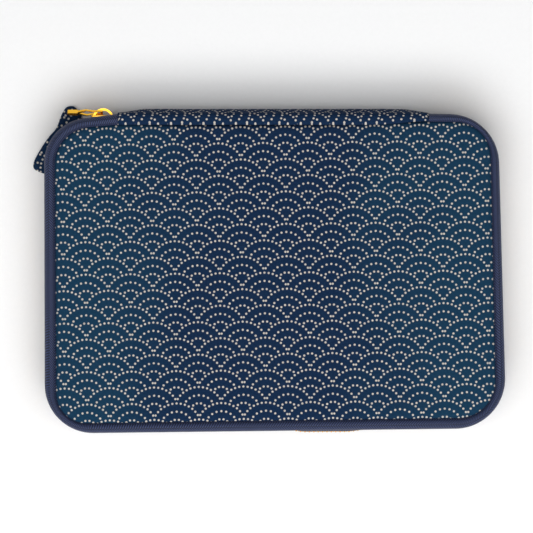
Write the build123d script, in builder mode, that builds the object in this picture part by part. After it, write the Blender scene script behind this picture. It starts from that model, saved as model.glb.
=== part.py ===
from build123d import *
from math import cos, radians, sin
import os

# A zip-around padded brush case, closed and lying on its back cover, in millimetres.
# +X runs along the long side, +Y towards the spine, +Z up through the thickness.
# The origin is the middle of the back cover's resting face.

# ---- whole case ----
case_height = 26.0
mid_height = case_height / 2
corner_points = [(-115.0, 78.3), (112.0, 78.8), (115.5, -79.0), (-115.0, -80.0)]
corner_radii = [27.5, 23.0, 30.0, 24.5]
slider_corner_centre = (corner_points[0][0] + corner_radii[0], corner_points[0][1] - corner_radii[0])
top_edge = corner_points[0][1]

# ---- cover layers, counted inwards from each cover's outer face ----
panel_inset = 5.0
panel_thickness = 0.8
padding_thickness = 2.0
lining_inset = 1.8
lining_thickness = 0.6
cover_thickness = panel_thickness + padding_thickness + lining_thickness

# ---- spine strip ----
spine_left = -78.2
spine_right = 77.4
spine_inner = 79.0
spine_end_gap = 2.6
spine_end_outer = 80.6
spine_bulge = 81.7
spine_cloth = 0.7
spine_lining_thickness = 0.5
cover_edge = 78.2
cover_side_gap = 0.4

# ---- zip tape ----
tape = 1.0
flange_inset = 4.8
flange_depth = 0.5
bead_radius = 4.0
bead_lower_radius = 1.5
bead_bottom = 18.9
strip_inset = 1.2
chain_inset = 1.7

# ---- zip teeth, each half a plain bar ----
teeth_half_thickness = 0.75
teeth_bottom = 14.2
teeth_height = 2.0
# The front half is cut away here, so that it swings clear of the slider, the pull and the end box.
strip_notch_left = (-95.5, -80.1)
teeth_notch_left = (-105.0, -80.1)
notch_right = (77.0, 81.0)

# ---- slider ----
slider_left = -91.7
slider_right = -80.7
chain_y = top_edge - chain_inset
plate_thickness = 0.8
outer_plate_gap = 1.1
inner_plate_gap = 1.8
mouth_half_width = 4.2
throat_half_width = 3.2
plate_outer = chain_y + outer_plate_gap + plate_thickness
bridge_width = 1.8
bridge_foot_left = -90.9
bridge_foot_right = -80.9
bridge_top = 82.0
bridge_strap = 1.1

# ---- pull ----
pivot_x = -86.6
pivot_y = 79.85
pull_length = 17.1
pull_tilt = 22.0
pull_thickness = 0.8
tip_thickness = 1.9
eye_half_width = 3.5
bar_half_width = 2.05
tip_half_width = 1.5

os.makedirs("parts", exist_ok=True)


def case_outline(inset):
    """Draw the rounded case outline, drawn in by inset, into the open sketch."""
    with BuildLine() as outline:
        FilletPolyline(*corner_points, radius=corner_radii, close=True)
    make_face(outline.edges())
    if inset > 0:
        offset(amount=-inset)


def spine_flank():
    """Draw the straight edge zone where a cover meets the spine strip."""
    width = spine_right - spine_left - 2 * cover_side_gap
    with Locations(((spine_left + spine_right) / 2, cover_edge)):
        Rectangle(width, 20, align=(Align.CENTER, Align.MAX))


def cut_zone(x_range, low, high):
    """Cut the edge zone at the spine side away between two X values and two heights."""
    with BuildSketch(Plane.XY.offset(low)) as zone:
        with Locations(((x_range[0] + x_range[1]) / 2, top_edge - 10)):
            Rectangle(x_range[1] - x_range[0], 30)
    extrude(zone.sketch, amount=high - low, mode=Mode.SUBTRACT)


def save(piece, name):
    """Label a finished piece and write its STEP file."""
    piece.part.label = name
    export_step(piece.part, f"parts/{name}.step")


def mirrored(piece):
    """Return the piece's twin on the other cover, across the middle height."""
    with BuildPart() as twin:
        add(piece.part)
        mirror(about=Plane.XY.offset(mid_height), mode=Mode.REPLACE)
    return twin


# ---- covers: printed panel, padding and lining ----
# The pieces are drawn on the back cover, which is the lower one, and mirrored for the front.
with BuildPart() as back_panel_fabric:
    with BuildSketch():
        case_outline(panel_inset)
    extrude(amount=panel_thickness)
    fillet(back_panel_fabric.edges().group_by(Axis.Z)[0], radius=panel_thickness * 0.75)

with BuildPart() as back_padding:
    with BuildSketch(Plane.XY.offset(panel_thickness)):
        case_outline(panel_inset)
        spine_flank()
    extrude(amount=padding_thickness)

with BuildPart() as back_lining:
    with BuildSketch(Plane.XY.offset(panel_thickness + padding_thickness)):
        case_outline(lining_inset)
        spine_flank()
    extrude(amount=lining_thickness)

save(back_panel_fabric, "back_panel_fabric")
save(back_padding, "back_padding")
save(back_lining, "back_lining")
save(mirrored(back_panel_fabric), "front_panel_fabric")
save(mirrored(back_padding), "front_padding")
save(mirrored(back_lining), "front_lining")

# ---- binding over the raw seam inside each cover, open along the spine ----
binding_thickness = 0.6
binding_width = 5.0
binding_floor = cover_thickness
with BuildPart() as back_seam_binding:
    with BuildSketch(Plane.XY.offset(binding_floor)):
        case_outline(lining_inset)
    extrude(amount=binding_thickness)
    with BuildSketch(Plane.XY.offset(binding_floor)):
        case_outline(lining_inset + binding_width)
    extrude(amount=binding_thickness, mode=Mode.SUBTRACT)
    cut_zone((spine_left, spine_right), binding_floor, binding_floor + binding_thickness)

save(back_seam_binding, "back_seam_binding")
save(mirrored(back_seam_binding), "front_seam_binding")

# ---- zip tape: seam flange, rolled bead, step in and the strip that carries the teeth ----
tape_top = case_height - flange_depth
strip_bottom = teeth_bottom + teeth_height
with BuildPart() as tape_hollow:
    with BuildSketch(Plane.XY.offset(bead_bottom + tape)):
        case_outline(tape)
    extrude(amount=tape_top - bead_bottom - 2 * tape)
    fillet(tape_hollow.edges().group_by(Axis.Z)[-1], radius=bead_radius - tape)
    with BuildSketch(Plane.XY.offset(strip_bottom)):
        case_outline(strip_inset + tape)
    extrude(amount=bead_bottom + tape - strip_bottom)
    with BuildSketch(Plane.XY.offset(tape_top - 2 * tape)):
        case_outline(flange_inset)
    extrude(amount=3 * tape)

with BuildPart() as plain_tape:
    with BuildSketch(Plane.XY.offset(bead_bottom)):
        case_outline(0)
    extrude(amount=tape_top - bead_bottom)
    fillet(plain_tape.edges().group_by(Axis.Z)[-1], radius=bead_radius)
    fillet(plain_tape.edges().group_by(Axis.Z)[0], radius=bead_lower_radius / 2)
    with BuildSketch(Plane.XY.offset(strip_bottom)):
        case_outline(strip_inset)
    extrude(amount=bead_bottom - strip_bottom)
    add(tape_hollow.part, mode=Mode.SUBTRACT)
    cut_zone((spine_left, spine_right), 0, case_height)

# The front strip stops short of the slider and of the end box, which stay on the back half.
with BuildPart() as front_zip_tape:
    add(plain_tape.part)
    cut_zone(strip_notch_left, 0, bead_bottom)
    cut_zone(notch_right, 0, bead_bottom)

save(front_zip_tape, "front_zip_tape")
save(mirrored(plain_tape), "back_zip_tape")

# ---- zip teeth ----
with BuildPart() as plain_teeth:
    with BuildSketch(Plane.XY.offset(teeth_bottom)):
        case_outline(chain_inset - teeth_half_thickness)
    extrude(amount=teeth_height)
    with BuildSketch(Plane.XY.offset(teeth_bottom)):
        case_outline(chain_inset + teeth_half_thickness)
    extrude(amount=teeth_height, mode=Mode.SUBTRACT)
    cut_zone((slider_right - 3.5, spine_right + 3.6), 0, case_height)

with BuildPart() as front_zip_teeth:
    add(plain_teeth.part)
    cut_zone(teeth_notch_left, 0, case_height)

save(front_zip_teeth, "front_zip_teeth")
save(mirrored(plain_teeth), "back_zip_teeth")

# ---- small metal stops where the closed slider comes to rest, one on each tape ----
stop_length = 1.6
stop_half_thickness = 1.1
with BuildPart() as front_top_stop:
    with BuildSketch(Plane.XY.offset(teeth_bottom)):
        with Locations(((teeth_notch_left[1] + spine_left) / 2, chain_y)):
            RectangleRounded(stop_length, 2 * stop_half_thickness, 0.4)
    extrude(amount=teeth_height)

save(front_top_stop, "front_top_stop")
save(mirrored(front_top_stop), "back_top_stop")

# ---- box that joins the two tapes at the zip's open end ----
with BuildPart() as zip_end_box:
    with BuildSketch(Plane.XY.offset(mid_height - 3.2)):
        with Locations((spine_right + 1.8, chain_y)):
            RectangleRounded(3.0, 3.2, 0.7)
    extrude(amount=6.4)
    with BuildSketch(Plane.XY.offset(case_height - strip_bottom - 2)):
        case_outline(strip_inset)
    extrude(amount=2.05, mode=Mode.SUBTRACT)

save(zip_end_box, "zip_end_box")

# ---- slider body: two plates joined by the post that parts the teeth ----
slider_middle = (slider_left + slider_right) / 2


def plate_outline():
    """Draw the slider plate: narrow at the throat, shouldered at the mouth."""
    with BuildLine() as outline:
        FilletPolyline(
            (slider_left, -throat_half_width),
            (slider_middle, -throat_half_width),
            (slider_middle + 2.6, -mouth_half_width),
            (slider_right, -mouth_half_width),
            (slider_right - 0.9, 0),
            (slider_right, mouth_half_width),
            (slider_middle + 2.6, mouth_half_width),
            (slider_middle, throat_half_width),
            (slider_left, throat_half_width),
            radius=[1.2, 2, 2, 1, 1, 1, 2, 2, 1.2],
            close=True,
        )
    make_face(outline.edges())


def facing_spine(y):
    """Return the upright plane at y that faces away from the case, with X and Z as its axes."""
    return Plane(origin=(0, y, mid_height), x_dir=(1, 0, 0), z_dir=(0, -1, 0))


with BuildPart() as slider_body:
    with BuildSketch(facing_spine(plate_outer)):
        plate_outline()
    extrude(amount=plate_thickness)
    fillet(slider_body.edges().group_by(Axis.Y)[-1], radius=plate_thickness * 0.4)
    with BuildSketch(facing_spine(chain_y - inner_plate_gap)):
        plate_outline()
    extrude(amount=plate_thickness)
    with BuildSketch(facing_spine(chain_y + outer_plate_gap)):
        with Locations((slider_right - 2.3, 0)):
            SlotOverall(2.6, 1.8)
    extrude(amount=outer_plate_gap + inner_plate_gap)

save(slider_body, "slider_body")

# ---- arched bridge on the slider's outer plate ----
with BuildPart() as slider_bridge:
    with BuildSketch(Plane.XY.offset(mid_height - bridge_width / 2)):
        with BuildLine():
            foot_right = bridge_foot_right - bridge_strap
            foot_left = bridge_foot_left + bridge_strap
            arch_x = (bridge_foot_left + bridge_foot_right) / 2
            ThreePointArc(
                (bridge_foot_left, plate_outer), (arch_x, bridge_top), (bridge_foot_right, plate_outer)
            )
            Line((bridge_foot_right, plate_outer), (foot_right, plate_outer))
            ThreePointArc(
                (foot_right, plate_outer), (arch_x, bridge_top - bridge_strap), (foot_left, plate_outer)
            )
            Line((foot_left, plate_outer), (bridge_foot_left, plate_outer))
        make_face()
    extrude(amount=bridge_width)

save(slider_bridge, "slider_bridge")

# ---- pull: a flat blade with a triangular eye whose end bar turns under the bridge ----
# Its own X runs from the turning bar to the tip; its width leans outwards at the top.
lean = radians(pull_tilt)
pull_plane = Plane(origin=(pivot_x, pivot_y, mid_height), x_dir=(-1, 0, 0), z_dir=(0, cos(lean), -sin(lean)))
eye_end = -0.6
eye_bar = 0.5
with BuildPart() as zip_pull:
    with BuildSketch(pull_plane.offset(-pull_thickness / 2)):
        with BuildLine():
            FilletPolyline(
                (eye_end, -bar_half_width),
                (4.8, -bar_half_width - 0.15),
                (7.8, -eye_half_width),
                (12.2, -tip_half_width),
                (pull_length, -tip_half_width),
                (pull_length, tip_half_width),
                (12.2, tip_half_width),
                (7.8, eye_half_width),
                (4.8, bar_half_width + 0.15),
                (eye_end, bar_half_width),
                radius=[0.4, 1.5, 1, 2, 0.4, 0.4, 2, 1, 1.5, 0.4],
                close=True,
            )
        make_face()
        with BuildLine():
            FilletPolyline(
                (eye_bar, -1.45),
                (5.0, -1.5),
                (7.6, -2.5),
                (11.2, 0),
                (7.6, 2.5),
                (5.0, 1.5),
                (eye_bar, 1.45),
                radius=[0.3, 1, 0.5, 0.4, 0.5, 1, 0.3],
                close=True,
            )
        make_face(mode=Mode.SUBTRACT)
    extrude(amount=pull_thickness)
    with BuildSketch(pull_plane.offset(-tip_thickness / 2)):
        with Locations(((11.9 + pull_length) / 2, 0)):
            RectangleRounded(pull_length - 11.9, 2 * tip_half_width, 0.5)
    extrude(amount=tip_thickness)

save(zip_pull, "zip_pull")


# ---- spine strip: cloth outside, padding, lining inside ----
def spine_crescent(ends, bulge):
    """Draw a shallow D from the given end width out to the bulge, above the lining."""
    lining_face = spine_inner + spine_lining_thickness
    low = spine_end_gap
    high = case_height - spine_end_gap
    with BuildLine() as outline:
        Polyline((ends, low), (lining_face, low), (lining_face, high), (ends, high))
        ThreePointArc((ends, high), (bulge, mid_height), (ends, low))
    make_face(outline.edges())


spine_plane = Plane.YZ.offset(spine_left)
spine_length = spine_right - spine_left
with BuildPart() as spine_padding:
    with BuildSketch(spine_plane):
        spine_crescent(spine_end_outer - spine_cloth, spine_bulge - spine_cloth)
    extrude(amount=spine_length)

with BuildPart() as spine_fabric:
    with BuildSketch(spine_plane):
        spine_crescent(spine_end_outer, spine_bulge)
    extrude(amount=spine_length)
    add(spine_padding.part, mode=Mode.SUBTRACT)

with BuildPart() as spine_lining:
    with BuildSketch(spine_plane):
        with Locations((spine_inner, mid_height)):
            Rectangle(
                spine_lining_thickness,
                case_height - 2 * spine_end_gap,
                align=(Align.MIN, Align.CENTER),
            )
    extrude(amount=spine_length)

save(spine_padding, "spine_padding")
save(spine_fabric, "spine_fabric")
save(spine_lining, "spine_lining")

# ---- brush pocket on the back lining, stitched into channels, with a bound top edge ----
pocket_inset = lining_inset + binding_width + 0.4
pocket_top_edge = 12.0
pocket_thickness = 0.9
channel_pitch = 15.0
channel_count = 13
stitch_width = 0.8
stitch_depth = 0.4
with BuildPart() as brush_pocket:
    with BuildSketch(Plane.XY.offset(cover_thickness)):
        case_outline(pocket_inset)
    extrude(amount=pocket_thickness)
    split(bisect_by=Plane.XZ.offset(-pocket_top_edge), keep=Keep.TOP)
    with BuildSketch(Plane.XY.offset(cover_thickness + pocket_thickness - stitch_depth)):
        with Locations((0, pocket_top_edge)):
            with GridLocations(channel_pitch, 1, channel_count, 1):
                Rectangle(stitch_width, 75, align=(Align.CENTER, Align.MAX))
    extrude(amount=stitch_depth, mode=Mode.SUBTRACT)

pocket_binding_width = 7.0
pocket_binding_thickness = 0.5
pocket_width = corner_points[1][0] - corner_points[0][0] - 2 * pocket_inset - 2
with BuildPart() as pocket_binding:
    with BuildSketch(Plane.XY.offset(cover_thickness + pocket_thickness)):
        with Locations(((corner_points[0][0] + corner_points[1][0]) / 2, pocket_top_edge)):
            Rectangle(pocket_width, pocket_binding_width, align=(Align.CENTER, Align.MAX))
    extrude(amount=pocket_binding_thickness)

save(brush_pocket, "brush_pocket")
save(pocket_binding, "pocket_binding")

# ---- elastic band stitched flat across the front lining ----
band_width = 20.0
band_thickness = 1.0
with BuildPart() as elastic_band:
    with BuildSketch(Plane.XY.offset(case_height - cover_thickness - band_thickness)):
        with Locations((0, 10)):
            Rectangle(pocket_width - 2, band_width)
    extrude(amount=band_thickness)

save(elastic_band, "elastic_band")

# ---- grip tab: folded cloth that comes out under the corner beside the slider ----
tab_thickness = 1.75
tab_across = 22.0
tab_along = 36.5
tab_centre = (-102.7, 62.6)
tab_turn = -32.2
with BuildPart() as grip_tab:
    with BuildSketch():
        with Locations(tab_centre):
            RectangleRounded(tab_across, tab_along, 3.0, rotation=tab_turn)
    extrude(amount=tab_thickness)
    with BuildSketch():
        case_outline(1.0)
    extrude(amount=tab_thickness, mode=Mode.SUBTRACT)

save(grip_tab, "grip_tab")
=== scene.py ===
from math import cos, pi, radians, sin

import bpy
from mathutils import Matrix, Vector, noise


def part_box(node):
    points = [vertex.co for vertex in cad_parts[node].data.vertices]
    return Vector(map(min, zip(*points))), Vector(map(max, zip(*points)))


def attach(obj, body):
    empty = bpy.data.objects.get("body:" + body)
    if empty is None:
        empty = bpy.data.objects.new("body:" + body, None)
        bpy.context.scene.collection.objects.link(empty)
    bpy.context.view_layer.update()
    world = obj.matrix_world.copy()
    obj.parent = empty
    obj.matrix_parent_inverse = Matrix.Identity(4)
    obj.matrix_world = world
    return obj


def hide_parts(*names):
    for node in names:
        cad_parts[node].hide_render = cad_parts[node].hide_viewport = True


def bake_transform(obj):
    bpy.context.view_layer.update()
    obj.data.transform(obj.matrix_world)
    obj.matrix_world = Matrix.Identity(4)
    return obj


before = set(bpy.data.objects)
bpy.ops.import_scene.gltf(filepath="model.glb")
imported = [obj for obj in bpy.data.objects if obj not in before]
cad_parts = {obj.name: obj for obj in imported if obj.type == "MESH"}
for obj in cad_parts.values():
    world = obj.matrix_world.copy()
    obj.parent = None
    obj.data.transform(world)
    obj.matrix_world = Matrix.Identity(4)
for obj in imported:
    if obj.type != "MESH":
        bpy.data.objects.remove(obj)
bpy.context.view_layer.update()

# A zip-around padded brush case: printed cotton covers and spine, a herringbone zip tape rolled
# round three sides, gold-coloured zip metal, and a cloth grip tab. All sizes are in millimetres
# and turned to metres by MM. X runs along the long side, Y towards the spine, Z up.
MM = 0.001

# ---- sizes read from the frame ----
def box_mm(node):
    """The lowest and highest corners of a CAD node in millimetres."""
    low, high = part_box(node)
    return [c / MM for c in low], [c / MM for c in high]


CASE_HEIGHT = box_mm("front_panel_fabric")[1][2]
MIDDLE = CASE_HEIGHT / 2
SPINE_LEFT, SPINE_RIGHT = box_mm("spine_fabric")[0][0], box_mm("spine_fabric")[1][0]

# ---- routes round the case, from the spine's left end anticlockwise to its right end ----
# The chain route is where the teeth run, the edge route is the tape's widest line and the seam
# route is where the tape meets the printed panel.
CORNERS = [(-115.0, 78.3), (-115.0, -80.0), (115.5, -79.0), (112.0, 78.8)]
CORNER_RADII = [27.5, 24.5, 30.0, 23.0]
EDGE_CORNERS = [(-114.5, 73.6), (-114.1, -80.5), (115.8, -77.8), (111.5, 77.7)]
EDGE_RADII = [22.0, 23.5, 24.5, 24.5]
SEAM_CORNERS = [(-110.0, 71.2), (-109.3, -76.5), (111.6, -73.4), (108.4, 75.2)]
SEAM_RADII = [19.0, 15.5, 19.0, 18.0]
STRAIGHT_STEPS = [8, 48, 84, 46, 8]
CORNER_STEPS = 20
CHAIN_INSET = 1.7
TOOTH_PITCH = 2.2
# The spine side holds no teeth between the end box's edge and the slider's end of the chain.
TEETH_STOP_LEFT, TEETH_STOP_RIGHT = -80.8, 82.0
# The tape and the binding run 600 mm round the case, cut into this many lengths.
TAPE_RUN = 600.0
TAPE_CUTS = 548

# ---- the print: a fan's width, the step from row to row, and how it lies on the front cover ----
ARC_PITCH = 22.33
ROW_PITCH = 8.11
PRINT_TURN = 0.65
PRINT_SHIFT = (27.11, -51.96)


def rounded_route(points, radii):
    """Points along straight runs joined by round corners, as many on every route."""
    path = [Vector(p) for p in points]
    route, last = [], path[0]
    for i, radius in enumerate(radii):
        corner = path[i + 1]
        back, on = (path[i] - corner).normalized(), (path[i + 2] - corner).normalized()
        half = back.angle(on) / 2
        reach = radius * cos(half) / sin(half)
        first, final = corner + back * reach, corner + on * reach
        centre = corner + (back + on).normalized() * radius / sin(half)
        route += [last.lerp(first, k / STRAIGHT_STEPS[i]) for k in range(STRAIGHT_STEPS[i])]
        arm, sweep = first - centre, pi - 2 * half
        for k in range(CORNER_STEPS):
            turn = sweep * k / CORNER_STEPS
            route.append(centre + Vector((arm.x * cos(turn) - arm.y * sin(turn),
                                          arm.x * sin(turn) + arm.y * cos(turn))))
        last = final
    steps = STRAIGHT_STEPS[-1]
    route += [last.lerp(path[-1], k / steps) for k in range(steps + 1)]
    return route


def lengths(route):
    """Distance along a route at each of its points."""
    found = [0.0]
    for a, b in zip(route, route[1:]):
        found.append(found[-1] + (b - a).length)
    return found


def inward(route):
    """The direction towards the middle of the case at each point of a route."""
    found = []
    for i in range(len(route)):
        along = route[min(i + 1, len(route) - 1)] - route[max(i - 1, 0)]
        found.append(Vector((-along.y, along.x)).normalized())
    return found


def ease(x):
    """Smooth step from 0 to 1."""
    x = min(max(x, 0.0), 1.0)
    return x * x * (3 - 2 * x)


def zip_swell(p):
    """How far the teeth push out of the rolled tape, along a short stretch of the front edge."""
    if p.y > 0:
        return 0.0
    return 2.0 * ease((p.x - 2) / 14) * ease((52 - p.x) / 16)


CASE_EDGE = rounded_route([(SPINE_LEFT, CORNERS[0][1]), *CORNERS, (SPINE_RIGHT, CORNERS[3][1])],
                          CORNER_RADII)
EDGE = rounded_route([(SPINE_LEFT, 78.3), *EDGE_CORNERS, (SPINE_RIGHT, 78.4)], EDGE_RADII)
SEAM = rounded_route([(SPINE_LEFT, 73.7), *SEAM_CORNERS, (SPINE_RIGHT, 75.2)], SEAM_RADII)
CASE_INWARD = inward(CASE_EDGE)
CHAIN = [p + n * (CHAIN_INSET - zip_swell(p)) for p, n in zip(CASE_EDGE, CASE_INWARD)]
CHAIN_LENGTHS = lengths(CHAIN)
SPINE_SEAM = [(SPINE_RIGHT, 75.2), (40.0, 73.7), (0.0, 73.4), (-40.0, 73.4), (SPINE_LEFT, 73.7)]


# ---- mesh helpers ----
CLOTH_ANGLE = 60


def deselect():
    if bpy.context.object and bpy.context.object.mode != "OBJECT":
        bpy.ops.object.mode_set(mode="OBJECT")
    bpy.ops.object.select_all(action="DESELECT")


def pick(piece):
    """Make a piece the only one chosen, and the active one."""
    deselect()
    piece.select_set(True)
    bpy.context.view_layer.objects.active = piece


def duplicate(piece):
    """A second object with a mesh of its own."""
    second = piece.copy()
    second.data = piece.data.copy()
    bpy.context.scene.collection.objects.link(second)
    return second


def named(name):
    """Name the active object and its mesh."""
    piece = bpy.context.object
    piece.name = name
    piece.data.name = name
    return piece


def apply_modifier(piece, kind, **settings):
    pick(piece)
    modifier = piece.modifiers.new(kind.title(), kind)
    for key, value in settings.items():
        setattr(modifier, key, value)
    bpy.ops.object.modifier_apply(modifier=modifier.name)
    return piece


def smooth(piece, angle=40):
    pick(piece)
    bpy.ops.object.shade_smooth_by_angle(angle=radians(angle))
    return piece


def edit(piece, *steps):
    """Run edit-mode operators on the whole mesh, each a (operator, settings) pair."""
    pick(piece)
    bpy.ops.object.mode_set(mode="EDIT")
    bpy.ops.mesh.select_all(action="SELECT")
    for operator, settings in steps:
        operator(**settings)
    bpy.ops.object.mode_set(mode="OBJECT")
    return piece


def cloth(name, along, across, place, flat=(1, 1), merge=False):
    """A flat cut of cloth, gridded along by across, with every point laid by place(s, t).
    Its map gives each point's place on the flat cut in millimetres."""
    deselect()
    bpy.ops.mesh.primitive_grid_add(x_subdivisions=along, y_subdivisions=across, size=1, calc_uvs=True)
    piece = named(name)
    mesh = piece.data
    for loop in mesh.uv_layers[0].uv:
        loop.vector = (loop.vector.x * flat[0], loop.vector.y * flat[1])
    mesh.uv_layers[0].name = "cloth"
    for v in mesh.vertices:
        v.co = Vector(place(v.co.x + 0.5, v.co.y + 0.5)) * MM
    if merge:
        edit(piece, (bpy.ops.mesh.remove_doubles, {"threshold": 0.02 * MM}))
    return piece


def face_out(piece):
    return edit(piece, (bpy.ops.mesh.normals_make_consistent, {"inside": False}))


def flip(piece):
    return edit(piece, (bpy.ops.mesh.flip_normals, {}))


def thicken(piece, thickness, offset=0.0):
    """Give open cloth its thickness in millimetres, about its middle or inwards for -1."""
    apply_modifier(piece, "SOLIDIFY", thickness=thickness * MM, offset=offset)
    return smooth(face_out(piece), CLOTH_ANGLE)


def map_from_above(piece, turn=0.0, shift=(0.0, 0.0)):
    """Lay the cloth map straight down onto a nearly flat piece, turned by some degrees."""
    mesh = piece.data
    layer = mesh.uv_layers.get("cloth") or mesh.uv_layers.new(name="cloth")
    c, s = cos(radians(turn)), sin(radians(turn))
    for loop in mesh.loops:
        p = mesh.vertices[loop.vertex_index].co / MM
        layer.uv[loop.index].vector = (c * p.x + s * p.y + shift[0], c * p.y - s * p.x + shift[1])
    return piece


def join(pieces, name):
    deselect()
    for piece in pieces:
        piece.select_set(True)
    bpy.context.view_layer.objects.active = pieces[0]
    bpy.ops.object.join()
    return named(name)


def twin_below(piece, name):
    """A copy of a front piece mirrored across the middle height, for the back cover."""
    twin = duplicate(piece)
    twin.name = twin.data.name = name
    for v in twin.data.vertices:
        v.co.z = CASE_HEIGHT * MM - v.co.z
    return flip(twin)


def dress(piece, material, slot, *replaced):
    """Give a piece its material, and hide the CAD nodes that it stands for. Its slot is not used."""
    piece.data.materials.clear()
    piece.data.materials.append(material)
    if replaced:
        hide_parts(*replaced)
    return piece


def place_piece(piece, material, slot, body, *replaced):
    """Dress a piece and let it ride on a body."""
    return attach(dress(piece, material, slot, *replaced), body)


# ---- materials ----
def linear(code):
    """An sRGB hex colour turned to linear."""
    channels = [int(code[i:i + 2], 16) / 255 for i in (1, 3, 5)]
    return (*[c / 12.92 if c <= 0.04045 else ((c + 0.055) / 1.055) ** 2.4 for c in channels], 1.0)


def node(tree, kind, values=(), **settings):
    """Add a shader node, set it, and fill its shown inputs, in order or by name.
    A node given as a value is linked from its first shown output."""
    made = tree.nodes.new("ShaderNode" + kind)
    for key, value in settings.items():
        setattr(made, key, value)
    shown = [socket for socket in made.inputs if socket.enabled]
    pairs = values.items() if isinstance(values, dict) else enumerate(values)
    for key, value in pairs:
        socket = shown[key] if isinstance(key, int) else next(s for s in shown if s.name == key)
        if isinstance(value, bpy.types.Node):
            value = next(s for s in value.outputs if s.enabled)
        if isinstance(value, bpy.types.NodeSocket):
            tree.links.new(value, socket)
        else:
            socket.default_value = value
    return made


def new_material(name, **shader_values):
    """A material whose shader sockets hold the values that are the same all over."""
    material = bpy.data.materials.new(name)
    material.use_nodes = True
    shader = material.node_tree.nodes["Principled BSDF"]
    for key, value in shader_values.items():
        shader.inputs[key.replace("_", " ")].default_value = value
    return material, material.node_tree, shader


def finish_material(tree, shader, colour, height, depth, under=None):
    """Link a colour, and a height of some millimetres as bump over another bump if there is one."""
    tree.links.new(next(s for s in colour.outputs if s.enabled), shader.inputs["Base Color"])
    fields = {"Height": height, "Distance": depth * MM, "Strength": 0.8}
    if under:
        fields["Normal"] = under
    bump = node(tree, "Bump", fields)
    tree.links.new(bump.outputs[0], shader.inputs["Normal"])


# Three arcs of dots to a fan: radius, degrees between dots, and the last dot's number from the
# middle. A half number means the arc has a gap, not a dot, in its middle.
WAVE_ARCS = [(12.4, 9.75, 6.0), (8.3, 16.8, 3.0), (4.3, 28.0, 2.5)]
WAVE_COVER = 13.4
DOT_RADIUS = 0.54


def wave_dots(tree, x, y):
    """Rows of overlapping fans, each lower row lying over the one above. 1 on a dot, 0 off it."""
    raised = node(tree, "Math", [y, WAVE_COVER], operation="SUBTRACT")
    rows_up = node(tree, "Math", [raised, ROW_PITCH], operation="DIVIDE")
    first_row = node(tree, "Math", [rows_up], operation="CEIL")
    fans = []
    for step in (0.0, 1.0):
        row = node(tree, "Math", [first_row, step], operation="ADD")
        dy = node(tree, "Math", [row, -ROW_PITCH, y], operation="MULTIPLY_ADD")
        odd = node(tree, "Math", [row, 2.0], operation="FLOORED_MODULO")
        slid = node(tree, "Math", [odd, -ARC_PITCH / 2, x], operation="MULTIPLY_ADD")
        turns = node(tree, "Math", [slid, ARC_PITCH], operation="DIVIDE")
        turn = node(tree, "Math", [turns], operation="ROUND")
        dx = node(tree, "Math", [turn, -ARC_PITCH, slid], operation="MULTIPLY_ADD")
        across = node(tree, "Math", [dx, dx], operation="MULTIPLY")
        squared = node(tree, "Math", [dy, dy, across], operation="MULTIPLY_ADD")
        fans.append((dx, dy, node(tree, "Math", [squared], operation="SQRT")))
    lower = node(tree, "Math", [fans[0][2], WAVE_COVER], operation="LESS_THAN")
    dx, dy, away = [node(tree, "Mix", [lower, b, a], data_type="FLOAT") for a, b in zip(*fans)]
    angle = node(tree, "Math", [dx, dy], operation="ARCTAN2")
    dots = 0.0
    for radius, spacing, last in WAVE_ARCS:
        gap = last % 1
        place = node(tree, "Math", [angle, 1 / radians(spacing), gap], operation="MULTIPLY_ADD")
        whole = node(tree, "Math", [place], operation="ROUND")
        number = node(tree, "Math", [whole, gap], operation="SUBTRACT")
        capped = node(tree, "Math", [number, last], operation="MINIMUM")
        number = node(tree, "Math", [capped, -last], operation="MAXIMUM")
        off = node(tree, "Math", [number, -radians(spacing), angle], operation="MULTIPLY_ADD")
        cosine = node(tree, "Math", [off], operation="COSINE")
        reach = node(tree, "Math", [away, -2 * radius], operation="MULTIPLY")
        square = node(tree, "Math", [away, away, radius * radius], operation="MULTIPLY_ADD")
        squared = node(tree, "Math", [cosine, reach, square], operation="MULTIPLY_ADD")
        held = node(tree, "Math", [squared, 0.0], operation="MAXIMUM")
        distance = node(tree, "Math", [held], operation="SQRT")
        dot = node(tree, "MapRange", [distance, DOT_RADIUS - 0.16, DOT_RADIUS + 0.14, 1.0, 0.0],
                   interpolation_type="SMOOTHSTEP")
        dots = node(tree, "Math", [dots, dot], operation="MAXIMUM")
    return dots


def woven(tree, x, y, pitch):
    """Height of a plain weave, where warp and weft cross over and under."""
    waves = []
    for way in (x, y):
        turned = node(tree, "Math", [way, 2 * pi / pitch], operation="MULTIPLY")
        waves.append(node(tree, "Math", [turned], operation="SINE"))
    return node(tree, "Math", waves, operation="MULTIPLY")


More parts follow.
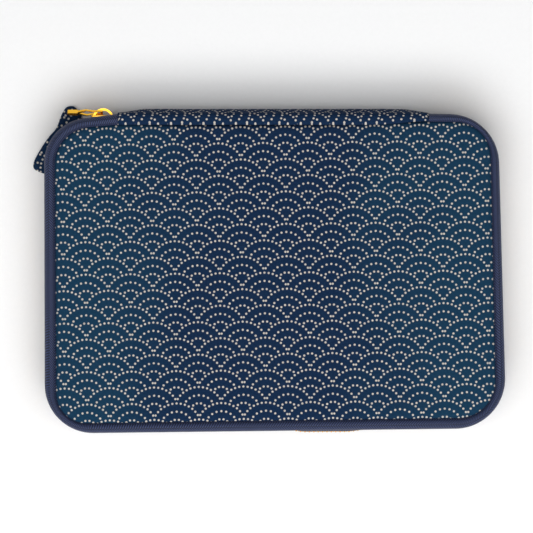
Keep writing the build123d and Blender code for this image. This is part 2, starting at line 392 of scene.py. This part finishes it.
def printed_cotton(name):
    """Plain-woven indigo cotton, screen-printed with cream dots: matt, slightly heathered, with
    threads that catch the light. The weave is drawn a little coarse, so that it shows."""
    material, tree, shader = new_material(name, Roughness=0.9, Specular_IOR_Level=0.06)
    place = node(tree, "UVMap", uv_map="cloth")
    split = node(tree, "SeparateXYZ", [place])
    x, y = split.outputs[0], split.outputs[1]
    dots = wave_dots(tree, x, y)
    heather = node(tree, "TexNoise", {"Vector": place, "Scale": 1.1, "Detail": 3.0, "Roughness": 0.7})
    patches = node(tree, "TexNoise", {"Vector": place, "Scale": 0.018, "Detail": 2.0})
    thread = node(tree, "MapRange", [heather, 0.3, 0.7], interpolation_type="SMOOTHSTEP")
    aside = node(tree, "Math", [x, -27.0], operation="ADD")
    far = node(tree, "Math", [aside], operation="ABSOLUTE")
    spread = node(tree, "Math", [patches, 90.0, far], operation="MULTIPLY_ADD")
    patch = node(tree, "MapRange", [spread, 70.0, 140.0], interpolation_type="SMOOTHSTEP")
    yarn = node(tree, "Mix", [thread, linear("#12273E"), linear("#1E3855")], data_type="RGBA")
    dye = node(tree, "Mix", [patch, linear("#0F2140"), linear("#163E55")], data_type="RGBA")
    ground = node(tree, "Mix", [0.5, yarn, dye], data_type="RGBA")
    ink = node(tree, "Mix", [thread, linear("#B4AEA8"), linear("#D4CDC4")], data_type="RGBA")
    colour = node(tree, "Mix", [dots, ground, ink], data_type="RGBA")
    slubs = node(tree, "Math", [heather, 0.6, woven(tree, x, y, 0.62)], operation="MULTIPLY_ADD")
    ink_edge = node(tree, "Bump", {"Height": dots, "Distance": 0.05 * MM, "Strength": 0.5})
    finish_material(tree, shader, colour, slubs, 0.06, ink_edge)
    return material


def herringbone_tape(name):
    """Polyester zip tape woven in herringbone twill: ribs just over a millimetre apart that lean
    one way and then the other. It is softly shiny, and its colour holds a painted highlight on the
    rib tops and painted shade in the grooves between them and along each line where the lean turns."""
    material, tree, shader = new_material(name, Roughness=0.62, Specular_IOR_Level=0.25,
                                          Sheen_Weight=0.08, Sheen_Roughness=0.4,
                                          Sheen_Tint=linear("#8088B8"))
    place = node(tree, "UVMap", uv_map="cloth")
    split = node(tree, "SeparateXYZ", [place])
    along, across = split.outputs[0], split.outputs[1]
    column = node(tree, "Math", [across, 1 / 2.5], operation="MULTIPLY")
    number = node(tree, "Math", [column], operation="FLOOR")
    side = node(tree, "Math", [number, 2.0], operation="FLOORED_MODULO")
    lean = node(tree, "Math", [side, 1.6, -0.8], operation="MULTIPLY_ADD")
    slid = node(tree, "Math", [lean, across, along], operation="MULTIPLY_ADD")
    turned = node(tree, "Math", [slid, 2 * pi / 1.25], operation="MULTIPLY")
    wave = node(tree, "Math", [turned], operation="SINE")
    # The rib mask is painted light as well as relief: the colour is lighter on the rib tops, and painted
    # shade fills the grooves and each line where the lean turns.
    ridge_painted_highlight = node(tree, "MapRange", [wave, -0.5, 0.7], interpolation_type="SMOOTHSTEP")
    margin = node(tree, "Math", [column, 0.5], operation="PINGPONG")
    inside = node(tree, "MapRange", [margin, 0.0, 0.1], interpolation_type="SMOOTHSTEP")
    rib = node(tree, "Math", [ridge_painted_highlight, inside], operation="MULTIPLY")
    fibre = node(tree, "TexNoise", {"Vector": place, "Scale": 2.5, "Detail": 3.0})
    shade = node(tree, "MapRange", [fibre, 0.3, 0.7], interpolation_type="SMOOTHSTEP")
    # Painted shade for the grooves, and a lighter painted-highlight colour for the rib tops.
    painted_groove_shade = node(tree, "Mix", [shade, linear("#060B18"), linear("#0C1326")], data_type="RGBA")
    light = node(tree, "Mix", [shade, linear("#2C3759"), linear("#3C4770")], data_type="RGBA")
    colour = node(tree, "Mix", [rib, painted_groove_shade, light], data_type="RGBA")
    height = node(tree, "Math", [fibre, 0.3, rib], operation="MULTIPLY_ADD")
    finish_material(tree, shader, colour, height, 0.14)
    return material


def plain_cotton(name, low, high):
    """Plain-woven cotton lining: matt and even, a fine square weave with a little shade in the dye."""
    material, tree, shader = new_material(name, Roughness=0.86, Specular_IOR_Level=0.22,
                                          Sheen_Weight=0.12)
    place = node(tree, "UVMap", uv_map="cloth")
    split = node(tree, "SeparateXYZ", [place])
    uneven = node(tree, "TexNoise", {"Vector": place, "Scale": 0.9, "Detail": 4.0, "Roughness": 0.65})
    shade = node(tree, "MapRange", [uneven, 0.3, 0.7], interpolation_type="SMOOTHSTEP")
    colour = node(tree, "Mix", [shade, linear(low), linear(high)], data_type="RGBA")
    weave = woven(tree, split.outputs[0], split.outputs[1], 0.6)
    height = node(tree, "Math", [uneven, 0.5, weave], operation="MULTIPLY_ADD")
    finish_material(tree, shader, colour, height, 0.07)
    return material


def ribbed_ribbon(name, low, high, pitch):
    """Grosgrain ribbon: cross ribs a thread or two wide, with painted shade between them and a painted
    highlight on top.
    """
    material, tree, shader = new_material(name, Roughness=0.66, Specular_IOR_Level=0.3,
                                          Sheen_Weight=0.15)
    place = node(tree, "UVMap", uv_map="cloth")
    split = node(tree, "SeparateXYZ", [place])
    turned = node(tree, "Math", [split.outputs[0], 2 * pi / pitch], operation="MULTIPLY")
    rib = node(tree, "Math", [turned], operation="SINE")
    fibre = node(tree, "TexNoise", {"Vector": place, "Scale": 3.0, "Detail": 2.0})
    # Painted light: the low colour is painted shade between the ribs and the high colour a painted
    # highlight on their tops, mixed with random fibre tone.
    ridge_painted_highlight = node(tree, "MapRange", [rib, -1.0, 1.4], interpolation_type="SMOOTHSTEP")
    shade = node(tree, "Math", [fibre, 0.4, ridge_painted_highlight], operation="MULTIPLY_ADD", use_clamp=True)
    colour = node(tree, "Mix", [shade, linear(low), linear(high)], data_type="RGBA")
    finish_material(tree, shader, colour, rib, 0.1)
    return material


def gold_plate(name):
    """Die-cast zinc, polished and plated yellow gold: bright and clean, with faint rub marks."""
    material, tree, shader = new_material(name, Metallic=1.0)
    place = node(tree, "TexCoord").outputs["Object"]
    fine = node(tree, "TexNoise", {"Vector": place, "Scale": 900.0, "Detail": 4.0, "Roughness": 0.6})
    broad = node(tree, "TexNoise", {"Vector": place, "Scale": 160.0, "Detail": 2.0})
    worn = node(tree, "MapRange", [broad, 0.35, 0.7], interpolation_type="SMOOTHSTEP")
    rubbed = node(tree, "Math", [worn, fine], operation="MULTIPLY")
    rough = node(tree, "Math", [rubbed, 0.2, 0.24], operation="MULTIPLY_ADD")
    tree.links.new(rough.outputs[0], shader.inputs["Roughness"])
    colour = node(tree, "Mix", [broad, linear("#E9AC27"), linear("#F7C64F")], data_type="RGBA")
    finish_material(tree, shader, colour, fine, 0.012)
    return material


def sewing_thread(name):
    """Spun polyester thread, twisted, so each stitch shows a slanting ply, in relief and as painted
    shade and highlight.
    """
    material, tree, shader = new_material(name, Roughness=0.6, Specular_IOR_Level=0.3, Sheen_Weight=0.2)
    place = node(tree, "TexCoord").outputs["Object"]
    ply = node(tree, "TexWave", {"Vector": place, "Scale": 900.0}, bands_direction="DIAGONAL")
    # Painted shade and highlight: the ply bands darken the colour between plies and lighten it on their
    # crests.
    colour = node(tree, "Mix", [ply, linear("#2B3560"), linear("#46528A")], data_type="RGBA")
    finish_material(tree, shader, colour, ply, 0.04)
    return material


PRINT = printed_cotton("cotton_printed_with_dotted_waves")
TAPE = herringbone_tape("zip_tape_herringbone_twill")
LINING = plain_cotton("lining_plain_cotton", "#33425F", "#43557A")
POCKET = plain_cotton("pocket_plain_cotton", "#2A3955", "#3B4C70")
# Each ribbon's two colours are painted shade between its ribs and a painted highlight on their tops.
BINDING = ribbed_ribbon("binding_grosgrain", "#1C2340", "#323B66", 0.9)
ELASTIC = ribbed_ribbon("elastic_ribbed", "#15192B", "#2C3350", 1.3)
GOLD = gold_plate("zip_metal_gold_plated")
THREAD = sewing_thread("thread_spun_polyester")


# ---- shapes that several pieces share ----
def through(points, t):
    """The place t, from 0 to 1, on a smooth curve through some points of any size."""
    place = min(max(t, 0.0), 1.0) * (len(points) - 1)
    i = min(int(place), len(points) - 2)
    f = place - i
    before, after = points[max(i - 1, 0)], points[min(i + 2, len(points) - 1)]
    curve = []
    for a, b, c, d in zip(before, points[i], points[i + 1], after):
        curve.append(b + 0.5 * f * (c - a + f * (2 * a - 5 * b + 4 * c - d + f * (3 * (b - c) + d - a))))
    return Vector(curve)


def on_route(route, s):
    place = min(max(s, 0.0), 1.0) * (len(route) - 1)
    i = min(int(place), len(route) - 2)
    return route[i].lerp(route[i + 1], place - i)


def round_all(route, top):
    """A closed outline: a route, then back along the given points."""
    back = [through(top, k / 60) for k in range(1, 60)]
    return list(route) + [Vector((p.x, p.y)) for p in back] + [route[0].copy()]


def inward_all(outline):
    """Directions towards the middle of a closed outline."""
    count = len(outline) - 1
    found = []
    for i in range(count):
        along = outline[(i + 1) % count] - outline[(i - 1) % count]
        found.append(Vector((-along.y, along.x)).normalized())
    return found + [found[0]]


MIDDLE_RINGS = 16
HUB_REACH = 42.0


def filled(name, outline, profile, underside=()):
    """Cloth across an outline. It runs in from the outline as (inset, z) points and then across to
    the middle at the last z. A pad has an underside too, given as the points before those."""
    directions = inward_all(outline)
    rings = [*underside, *profile] + [(-1.0, profile[-1][1])] * MIDDLE_RINGS
    first_flat = len(underside) + len(profile) - 1

    def lay(s, t):
        i = round(s * (len(outline) - 1))
        k = round(t * (len(rings) - 1))
        inset, z = rings[k]
        p, n = outline[i], directions[i]
        hub = Vector((min(max(p.x, -HUB_REACH), HUB_REACH), -1.0))
        if inset >= 12.0:
            p = p.lerp(hub, 1.0 if inset > 30 else 0.4)
        elif inset >= 0.0:
            p = p + n * inset
        else:
            p = (p + n * profile[-1][0]).lerp(hub, ((k - first_flat) / MIDDLE_RINGS) ** 1.1)
        return p.x, p.y, z

    piece = cloth(name, len(outline) - 1, len(rings) - 1, lay, merge=True)
    return face_out(piece)


def wrinkle(p, size, seed=0.0):
    """Smooth unevenness between -1 and 1 with humps of about the given size."""
    return noise.noise(Vector((p.x / size, p.y / size, seed)))


def ring_strip(name, steps, rim, across, place, flat):
    """A closed strip of cloth with body: place(s, u, side) is its outer face for side 1 and its
    inner face for side 0. Both ends are rounded off over rim, a share of its length."""
    def lay(s, t):
        k = round(t * 2 * across)
        side = 1.0 if k < across else 0.0
        u = k / (across - 1) if side else (2 * across - 1 - k) / (across - 1)
        if k == 2 * across:
            side, u = 1.0, 0.0
        outer, inner = Vector(place(s, u, 1)), Vector(place(s, u, 0))
        open_to = min(s, 1 - s) / rim
        body = sqrt_round(open_to)
        middle = (outer + inner) / 2
        return middle + (outer - inner) / 2 * body * (1 if side else -1)

    piece = cloth(name, steps, 2 * across, lay, flat, merge=True)
    return face_out(piece)


def sqrt_round(x):
    """0 to 1 along a quarter circle."""
    x = 1 - min(max(x, 0.0), 1.0)
    return (1 - x * x) ** 0.5


# ---- printed covers: padded panels with a crown, puckered where the seam pulls them in ----
PANEL_OUTLINE = round_all(SEAM, SPINE_SEAM)
PANEL_PROFILE = [(0.25, 23.4), (0.3, 24.1), (0.6, 24.8), (1.2, 25.35), (2.2, 25.75), (3.6, 25.95),
                 (5.4, 26.02), (8.0, 26.05)]


def pucker(piece):
    """Crown the panel a little and gather it lightly along its seam."""
    for v in piece.data.vertices:
        p = v.co / MM
        if p.z < 25.0:
            continue
        edge = min((p.xy - q).length for q in PANEL_OUTLINE[::3])
        gather = ease(1 - abs(edge - 4.0) / 5.0) * wrinkle(p, 7.0, 3.0) * 0.16
        crown = 0.3 * ease(edge / 45) + 0.12 * wrinkle(p, 38.0, 8.0) * ease(edge / 12)
        v.co.z += (gather + crown) * MM
    return piece


front_pad = filled("front_cover_pad", PANEL_OUTLINE, PANEL_PROFILE,
                   [(40.0, 23.2), (12.0, 23.2), (0.0, 23.2)])
pucker(front_pad)
map_from_above(front_pad, PRINT_TURN, PRINT_SHIFT)
smooth(front_pad, CLOTH_ANGLE)
back_pad = twin_below(front_pad, "back_cover_pad")
place_piece(front_pad, PRINT, "printed_cotton", "front_cover", "front_panel_fabric", "front_padding")
place_piece(back_pad, PRINT, "printed_cotton", "back_cover", "back_panel_fabric", "back_padding")

# ---- zip tape: herringbone tape rolled over the case's edge, from the panel seam to the teeth ----
# Each point is a place between the seam route (0), the edge route (1) and the chain route (2), and z.
TAPE_SECTION = [(0.0, 23.2), (0.08, 24.2), (0.22, 24.95), (0.42, 25.45), (0.62, 25.35),
                (0.82, 24.4), (0.95, 22.8), (1.0, 21.2), (1.08, 19.6), (1.3, 18.1),
                (1.65, 16.9), (1.9, 15.9), (2.0, 15.0)]
TAPE_FLAT = (TAPE_RUN, 15.5)


def short_by_box(p):
    """How much of the tape is left beside the end box, which takes the tape's last stretch."""
    if p.y < 60:
        return 1.0
    return 0.84 + 0.16 * ease((p.x - 81.5) / 3 if p.x > 0 else 1.0)


def lay_tape(s, t):
    seam, edge, chain = on_route(SEAM, s), on_route(EDGE, s), on_route(CHAIN, s)
    mixed, z = through(TAPE_SECTION, t * short_by_box(edge))
    p = seam.lerp(edge, mixed) if mixed < 1 else edge.lerp(chain, mixed - 1)
    return p.x, p.y, z + 0.05 * wrinkle(p, 9.0, 5.0)


front_tape = cloth("front_tape", TAPE_CUTS, 26, lay_tape, TAPE_FLAT)
thicken(front_tape, 0.7, -1.0)
back_tape = twin_below(front_tape, "back_tape")
place_piece(front_tape, TAPE, "zip_tape", "front_cover", "front_zip_tape")
place_piece(back_tape, TAPE, "zip_tape", "back_cover", "back_zip_tape")


# ---- teeth: metal hooks on the tapes' edges, the two sets meshing at the middle height ----
# Their hooked ends are a little wider than the space between two teeth, so the sets overlap.
def one_tooth():
    """A rounded block with a wider and flatter hook at its end."""
    deselect()
    bpy.ops.mesh.primitive_cube_add(size=1)
    tooth = named("tooth")
    for v in tooth.data.vertices:
        v.co = Vector((v.co.x * 1.0, v.co.y * 2.1, v.co.z * 3.6)) * MM
    apply_modifier(tooth, "BEVEL", width=0.28 * MM, segments=1)
    for v in tooth.data.vertices:
        if v.co.z < -1.2 * MM:
            v.co.x *= 1.25
            v.co.y *= 0.8
    return tooth


def teeth_row(name, first, height, upright):
    """Copies of one tooth along the chain route, from the top stops round to the end box."""
    pattern = one_tooth()
    row = []
    count = int((CHAIN_LENGTHS[-1] - first) / TOOTH_PITCH)
    i = 0
    for k in range(count + 1):
        reach = first + k * TOOTH_PITCH
        while i < len(CHAIN) - 2 and CHAIN_LENGTHS[i + 1] < reach:
            i += 1
        share = (reach - CHAIN_LENGTHS[i]) / (CHAIN_LENGTHS[i + 1] - CHAIN_LENGTHS[i])
        p = CHAIN[i].lerp(CHAIN[i + 1], share)
        run = (CHAIN[i + 1] - CHAIN[i]).normalized()
        if p.y > 60 and TEETH_STOP_LEFT < p.x < TEETH_STOP_RIGHT:
            continue
        tooth = duplicate(pattern)
        turn = Matrix(((run.x, -run.y, 0), (run.y, run.x, 0), (0, 0, 1)))
        for v in tooth.data.vertices:
            local = Vector((v.co.x, v.co.y, v.co.z * upright))
            v.co = turn @ local + Vector((p.x, p.y, height)) * MM
        row.append(tooth)
    bpy.data.objects.remove(pattern)
    return smooth(face_out(join(row, name)), 35)


front_teeth = teeth_row("front_teeth", 1.1, MIDDLE + 0.95, 1)
back_teeth = teeth_row("back_teeth", 2.2, MIDDLE - 0.95, -1)
place_piece(front_teeth, GOLD, "zip_metal", "front_cover", "front_zip_teeth")
place_piece(back_teeth, GOLD, "zip_metal", "back_cover", "back_zip_teeth")

# ---- spine: one printed strip over padding, in two halves, the back half a mirror of the front ----
SPINE_FACE = [(73.3, 24.6), (73.9, 25.5), (75.4, 25.9), (77.2, 25.75), (78.6, 25.1), (79.3, 23.6),
              (80.0, 20.4), (81.0, 16.6), (81.7, 13.0)]
SPINE_BACK = [(73.3, 24.3), (74.0, 23.8), (75.6, 23.6), (77.3, 23.6), (78.6, 23.2), (79.35, 22.0),
              (79.45, 19.5), (79.45, 16.2), (79.45, 13.0)]
SPINE_LENGTH = SPINE_RIGHT - SPINE_LEFT


def lay_spine(s, u, side):
    y, z = through(SPINE_FACE if side else SPINE_BACK, u)
    x = SPINE_LEFT + SPINE_LENGTH * s
    full = ease(min(s, 1 - s) * SPINE_LENGTH / 14)
    if side:
        y -= (1 - full) * max(y - 79.6, 0) * 0.8
    lift = ease((x - 50) / 27) * 1.8
    y += lift * ease((76.5 - y) / 3)
    y += 0.12 * wrinkle(Vector((x, z, 0)), 11.0, 1.0) * side
    return x, y, z


front_spine = ring_strip("spine_cloth_front", 156, 0.008, 17, lay_spine, (1, 1))
back_spine = twin_below(front_spine, "spine_cloth_back")
for half in (front_spine, back_spine):
    layer = half.data.uv_layers["cloth"]
    for loop in half.data.loops:
        p = half.data.vertices[loop.vertex_index].co / MM
        from_middle = p.z - MIDDLE
        over = max(79.0 - p.y, 0.0) * (1 if from_middle > 0 else -1)
        layer.uv[loop.index].vector = (from_middle + over, p.x)
    smooth(half, CLOTH_ANGLE)
    dress(half, PRINT, "printed_cotton", "spine_fabric", "spine_padding")
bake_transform(front_spine)
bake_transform(back_spine)

# ---- linings: cotton laid inside each cover, with its raw edge under a grosgrain binding ----
LINING_OUTLINE = round_all([p + n * 1.8 for p, n in zip(CASE_EDGE, CASE_INWARD)],
                           [(SPINE_RIGHT, 78.0), (0.0, 78.0), (SPINE_LEFT, 78.0)])
LINING_PROFILE = [(0.0, 23.1), (0.3, 22.75), (1.2, 22.62), (5.0, 22.6), (9.0, 22.6)]


def front_lining_shape(name):
    piece = filled(name, LINING_OUTLINE, LINING_PROFILE)
    for v in piece.data.vertices:
        p = v.co / MM
        edge = min((p.xy - q).length for q in LINING_OUTLINE[::4])
        v.co.z += (0.16 * wrinkle(p, 30.0, 12.0) + 0.05 * wrinkle(p, 8.0, 14.0)) * ease(edge / 15) * MM
    map_from_above(piece)
    return thicken(piece, 0.3)


front_lining_cloth = front_lining_shape("front_lining_cloth")
back_lining_cloth = twin_below(front_lining_cloth, "back_lining_cloth")
place_piece(front_lining_cloth, LINING, "lining_cloth", "front_cover", "front_lining")
place_piece(back_lining_cloth, LINING, "lining_cloth", "back_cover", "back_lining")


SPINE_LINING_RUN = [(75.0, 22.35), (77.0, 22.35), (78.4, 22.6), (78.95, 21.6), (79.1, 19.0),
                    (79.1, 16.0), (79.1, 13.0)]


def lay_spine_lining(s, u, side):
    y, z = through(SPINE_LINING_RUN, u)
    x = SPINE_LEFT + 0.3 + (SPINE_LENGTH - 0.6) * s
    thick = 0.3 if side else -0.1
    turned = ease((21.6 - z) / 1.6)
    y = y - thick * turned + 0.08 * wrinkle(Vector((x, z, 0)), 14.0, 20.0) * turned
    return x, y, z - thick * (1 - turned)


front_spine_lining = ring_strip("spine_lining_front", 156, 0.004, 13, lay_spine_lining, (1, 1))
back_spine_lining = twin_below(front_spine_lining, "spine_lining_back")
for half in (front_spine_lining, back_spine_lining):
    layer = half.data.uv_layers["cloth"]
    for loop in half.data.loops:
        p = half.data.vertices[loop.vertex_index].co / MM
        layer.uv[loop.index].vector = (p.x, p.z - p.y)
    smooth(half, CLOTH_ANGLE)
    dress(half, LINING, "lining_cloth", "spine_lining")
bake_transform(front_spine_lining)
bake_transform(back_spine_lining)


def lay_binding(s, t):
    """A folded ribbon round the lining's edge, a little domed and lifted at both its sides."""
    i = s * (len(CASE_EDGE) - 1)
    p, n = on_route(CASE_EDGE, s), CASE_INWARD[round(i)]
    p = p + n * (1.9 + 4.8 * t)
    rise = 0.5 * sqrt_round(min(t, 1 - t) * 5)
    return p.x, p.y, 22.52 - rise - 0.04 * wrinkle(p, 6.0, 9.0)


front_binding = cloth("front_binding", TAPE_CUTS, 12, lay_binding, (TAPE_RUN, 4.8))
thicken(front_binding, 0.25)
back_binding = twin_below(front_binding, "back_binding")
place_piece(front_binding, BINDING, "binding_cloth", "front_cover", "front_seam_binding")
place_piece(back_binding, BINDING, "binding_cloth", "back_cover", "back_seam_binding")

# ---- brush pocket: sewn down the sides and in channels, each channel standing a little full ----
POCKET_LEFT, POCKET_RIGHT = box_mm("brush_pocket")[0][0], box_mm("brush_pocket")[1][0]
POCKET_BOTTOM, POCKET_TOP = box_mm("brush_pocket")[0][1], box_mm("brush_pocket")[1][1]
CHANNEL = 15.0
CHANNEL_LINES = [CHANNEL * k for k in range(-6, 7)]
LAST_LINE = CHANNEL_LINES[-1]


def pocket_edge(x):
    """The lowest Y of the pocket at some X, round its two bottom corners."""
    corner = 18.0
    over = max(POCKET_LEFT + corner - x, x - POCKET_RIGHT + corner, 0.0)
    return POCKET_BOTTOM + corner - (corner * corner - over * over) ** 0.5


def pocket_height(x, y):
    """How full the pocket stands: highest in the middle of a channel, and most near its top."""
    inner = min(x - POCKET_LEFT, POCKET_RIGHT - x)
    if abs(x) < LAST_LINE:
        cross = abs(sin(pi * x / CHANNEL))
    else:
        cross = sin(pi * min(max(inner / 17.7, 0), 1))
    rise = ease((y - pocket_edge(x)) / 22)
    uneven = 0.05 * wrinkle(Vector((x, y, 0)), 7.0, 30.0)
    return 3.55 + (0.35 + 0.85 * rise) * cross ** 0.8 * rise + uneven


def lay_pocket(s, t):
    x = POCKET_LEFT + 0.3 + (POCKET_RIGHT - POCKET_LEFT - 0.6) * s
    low = pocket_edge(x) + 0.3
    y = low + (POCKET_TOP - low) * t
    return x, y, pocket_height(x, y)


pocket = cloth("brush_pocket_cloth", 300, 44, lay_pocket, (215.0, 84.0))
thicken(pocket, 0.35)
map_from_above(pocket)
place_piece(pocket, POCKET, "lining_cloth", "back_cover", "brush_pocket")


def lay_pocket_binding(s, t):
    x = POCKET_LEFT + 1.2 + (POCKET_RIGHT - POCKET_LEFT - 2.4) * s
    y = 5.0 + 7.2 * t
    dome = 0.28 * sqrt_round(min(t, 1 - t) * 6)
    return x, y, pocket_height(x, min(y, POCKET_TOP)) + 0.2 + dome


pocket_band = cloth("pocket_binding_ribbon", 300, 10, lay_pocket_binding, (1, 1))
thicken(pocket_band, 0.25)
map_from_above(pocket_band)
place_piece(pocket_band, BINDING, "binding_cloth", "back_cover", "pocket_binding")

# ---- elastic band on the front lining: a loop for a tool between each two lines of stitches ----
BAND_LEFT, BAND_RIGHT = box_mm("elastic_band")[0][0], box_mm("elastic_band")[1][0]
BAND_WIDTH = 20.0


def lay_elastic(s, t):
    x = BAND_LEFT + (BAND_RIGHT - BAND_LEFT) * s
    if abs(x) < LAST_LINE:
        cross = abs(sin(pi * x / CHANNEL))
    else:
        cross = sin(pi * (abs(x) - LAST_LINE) / 14.3)
    loop = 1.9 * max(cross, 0.0) ** 0.75
    return x, BAND_WIDTH * t, 22.15 - loop


elastic = cloth("elastic_loops", 420, 10, lay_elastic, (228.0, BAND_WIDTH))
thicken(elastic, 0.7)
place_piece(elastic, ELASTIC, "elastic", "front_cover", "elastic_band")


# ---- stitches: short lengths of thread, bowed so that both ends go into the cloth ----
STITCH_LENGTH = 2.3
STITCH_PITCH = 3.0


def stitches(name, runs, body):
    """Copies of one stitch along some runs. Each run is its first and last point and the face's up."""
    deselect()
    bpy.ops.mesh.primitive_cylinder_add(vertices=6, radius=0.16 * MM, depth=STITCH_LENGTH * MM)
    pattern = named("stitch")
    pattern.data.transform(Matrix.Rotation(pi / 2, 4, "Y"))
    edit(pattern, (bpy.ops.mesh.subdivide, {"number_cuts": 1}))
    for v in pattern.data.vertices:
        v.co.z -= 0.12 * MM * (v.co.x / (STITCH_LENGTH / 2 * MM)) ** 2
    made = []
    for first, last, up in runs:
        first, last = Vector(first), Vector(last)
        count = max(int((last - first).length / STITCH_PITCH), 1)
        run = (last - first).normalized()
        turn = Matrix((run, Vector((0, 0, up)).cross(run), Vector((0, 0, up)))).transposed()
        for k in range(count):
            stitch = duplicate(pattern)
            centre = first.lerp(last, (k + 0.5) / count)
            for v in stitch.data.vertices:
                v.co = turn @ v.co + centre * MM
            made.append(stitch)
    bpy.data.objects.remove(pattern)
    return place_piece(smooth(join(made, name), 50), THREAD, "binding_cloth", body)


channel_runs = []
for x in CHANNEL_LINES:
    low = pocket_edge(x) + 2
    channel_runs.append(((x, low, 3.85), (x, 4.5, 3.9), 1))
stitches("pocket_channel_stitches", channel_runs, "back_cover")
stitches("pocket_binding_stitches", [((a + 1.0, 6.3, 4.15), (a + CHANNEL - 1.0, 6.3, 4.15), 1)
                                     for a in CHANNEL_LINES[:-1]], "back_cover")
stitches("elastic_stitches", [((x, 0.8, 21.75), (x, 19.2, 21.75), -1) for x in CHANNEL_LINES],
         "front_cover")

# ---- grip tab: printed cloth folded over and sewn into the seam under the corner ----
TAB_EDGE = [(-98.4, 80.6), (-100.8, 83.2), (-103.6, 83.5), (-105.8, 82.0), (-107.6, 78.6),
            (-109.0, 74.6), (-110.7, 71.4), (-113.4, 68.4), (-116.8, 63.6), (-120.0, 58.2),
            (-121.5, 54.6), (-121.3, 52.0), (-118.6, 50.2), (-114.5, 49.0)]
TAB_ROOT = [(-94.0, 74.2), (-96.5, 74.0), (-98.5, 73.5), (-100.0, 73.0), (-101.5, 71.5),
            (-103.5, 69.5), (-105.0, 67.5), (-106.5, 65.5), (-108.0, 62.5), (-109.0, 59.5),
            (-109.8, 56.5), (-110.2, 53.5), (-110.4, 51.0), (-110.5, 49.0)]


def lay_tab(s, u, side):
    """From the root under the case, u 0, to the fold at the outer edge, u 1."""
    root, edge = through(TAB_ROOT, s), through(TAB_EDGE, s)
    p = root.lerp(edge, u)
    left = (edge - root).length * (1 - u)
    body = 0.25 + 0.75 * ease((u - 0.25) / 0.35)
    roll = sqrt_round(left / 1.6)
    crease = 0.18 * ease(1 - abs(left - 3.2) / 1.4)
    top = 0.15 + (1.5 * body - crease + 0.12 * wrinkle(p, 5.0, 40.0)) * (0.45 + 0.55 * roll)
    low = 0.05 + 0.5 * (1 - roll)
    return p.x, p.y, top if side else low


tab = ring_strip("grip_tab_cloth", 64, 0.05, 20, lay_tab, (1, 1))
map_from_above(tab, 57.0, (3.0, 5.0))
smooth(tab, CLOTH_ANGLE)
place_piece(tab, PRINT, "printed_cotton", "back_cover", "grip_tab")

# ---- metal that stays as the frame has it ----
for name in ("slider_body", "slider_bridge", "zip_pull", "front_top_stop", "back_top_stop",
             "zip_end_box"):
    metal = bpy.data.objects[name]
    metal.data.materials.clear()
    metal.data.materials.append(GOLD)

# ---- floor, light and camera ----
deselect()
bpy.ops.mesh.primitive_plane_add(size=6)
floor = named("floor")
floor.data.transform(Matrix.Translation((0, 0, -0.0006)))
paper, paper_tree, paper_shader = new_material("floor_matt_white_paper", Roughness=0.9)
paper_place = node(paper_tree, "TexCoord").outputs["Object"]
paper_grain = node(paper_tree, "TexNoise", {"Vector": paper_place, "Scale": 700.0})
paper_colour = node(paper_tree, "Mix", [paper_grain, linear("#F7F7F7"), linear("#FBFBFB")],
                    data_type="RGBA")
finish_material(paper_tree, paper_shader, paper_colour, paper_grain, 0.02)
floor.data.materials.append(paper)

world = bpy.data.worlds.new("soft_white_room")
bpy.context.scene.world = world
world.use_nodes = True
# Camera and glossy rays see a white room, so the metal has something bright to reflect. The
# matt cloth gets only a tenth of that as fill light.
backdrop = world.node_tree.nodes["Background"]
backdrop.inputs["Color"].default_value = linear("#F4F6FA")
rays = node(world.node_tree, "LightPath")
seen = node(world.node_tree, "Math", [rays.outputs["Is Camera Ray"], rays.outputs["Is Glossy Ray"]],
            operation="MAXIMUM")
strength = node(world.node_tree, "Math", [seen, 0.9, 0.1], operation="MULTIPLY_ADD")
world.node_tree.links.new(strength.outputs[0], backdrop.inputs["Strength"])


def soft_light(name, place, aim, size, power):
    """A white area light at a place, aimed at a point."""
    deselect()
    bpy.ops.object.light_add(type="AREA", location=place)
    light = bpy.context.object
    light.name = name
    light.data.shape = "RECTANGLE"
    light.data.size, light.data.size_y = size
    light.data.energy = power
    light.rotation_euler = (Vector(aim) - Vector(place)).to_track_quat("-Z", "Y").to_euler()
    return light


soft_light("overhead_light", (0, -1.6, 2.5), (0, -1.6, 0), (5.0, 4.0), 132)
soft_light("front_light", (0.05, -0.8, 1.0), (0, 0, 0), (0.9, 0.5), 4)

deselect()
bpy.ops.object.camera_add(location=(-3.75 * MM, 2.5 * MM, 2.246), rotation=(0, 0, 0))
camera = bpy.context.object
camera.name = "camera"
camera.data.lens = 300
camera.data.sensor_width = 36
camera.data.clip_end = 50
bpy.context.scene.camera = camera
bpy.context.scene.view_settings.view_transform = "Standard"
